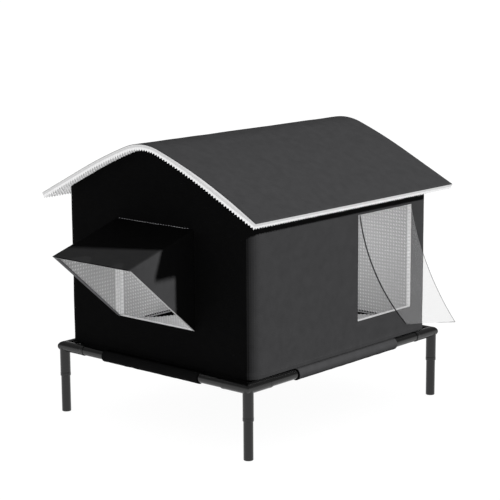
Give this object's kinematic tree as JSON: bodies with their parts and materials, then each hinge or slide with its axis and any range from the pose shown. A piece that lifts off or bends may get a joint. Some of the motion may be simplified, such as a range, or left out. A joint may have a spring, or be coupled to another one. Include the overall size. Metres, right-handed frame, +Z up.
{
  "type": "raised pet house",
  "caption": "Insulated pet house on a tube stand: foil-lined foam walls in fabric, hooded doorway in the gable, side doorway with a swinging clear flap, lift-off bent roof.",
  "frame": {"origin": "centre of the four feet, on the floor", "axes": "+Z up; +X towards the long wall with the flap doorway; -Y towards the gable with the hooded doorway; Y along the ridge"},
  "size_m": [0.792, 0.9179, 0.697],
  "materials": {
    "coated_tube": "dark powder coat, satin",
    "fitting_plastic": "moulded, satin",
    "deck_fabric": "woven polyester, matt",
    "wall_fabric": "coated woven polyester, matt",
    "roof_fabric": "coated woven polyester, soft sheen",
    "foil_foam": "foam sheet with dimpled foil face",
    "foil_tape": "thin foil tape over the cut foam, satin",
    "hook_and_loop": "hook-and-loop tape",
    "clear_sheet": "soft clear PVC sheet, slightly hazy"
  },
  "bodies": {
    "house": {"corner_fitting_front_left": "fitting_plastic", "corner_fitting_front_right": "fitting_plastic", "corner_fitting_rear_left": "fitting_plastic", "corner_fitting_rear_right": "fitting_plastic", "leg_front_left": "coated_tube", "leg_front_right": "coated_tube", "leg_rear_left": "coated_tube", "leg_rear_right": "coated_tube", "foot_cap_front_left": "fitting_plastic", "foot_cap_front_right": "fitting_plastic", "foot_cap_rear_left": "fitting_plastic", "foot_cap_rear_right": "fitting_plastic", "front_rail": "coated_tube", "rear_rail": "coated_tube", "left_rail": "coated_tube", "right_rail": "coated_tube", "front_rail_sleeve": "deck_fabric", "rear_rail_sleeve": "deck_fabric", "left_rail_sleeve": "deck_fabric", "right_rail_sleeve": "deck_fabric", "deck_sheet": "deck_fabric", "floor_panel": "foil_foam", "front_wall_panel": "foil_foam", "rear_wall_panel": "foil_foam", "left_wall_panel": "foil_foam", "right_wall_panel": "foil_foam", "hood_top_panel": "foil_foam", "hood_left_gusset": "foil_foam", "hood_right_gusset": "foil_foam", "outer_cover": "wall_fabric", "hood_cover": "wall_fabric", "hood_side_flanges": "wall_fabric", "front_door_edge_strip": "foil_tape", "side_door_edge_strip": "foil_tape", "roof_hook_strips": "hook_and_loop", "flap_header_strip": "hook_and_loop"},
    "flap": {"door_flap": "clear_sheet"},
    "roof": {"roof_panel": "foil_foam", "roof_cover": "roof_fabric", "roof_loop_strips": "hook_and_loop"}
  },
  "joints": [
    {"name": "door_flap_swing", "type": "hinge", "parent": "house", "child": "flap", "pos_m": [0.3029, 0.1571, 0.5079], "axis": [0, -1, 0], "range_deg": [-22, 55]},
    {"name": "roof_lift", "type": "slide", "parent": "house", "child": "roof", "axis": [0, 0, 1], "range_m": [0, 0.2]}
  ]
}
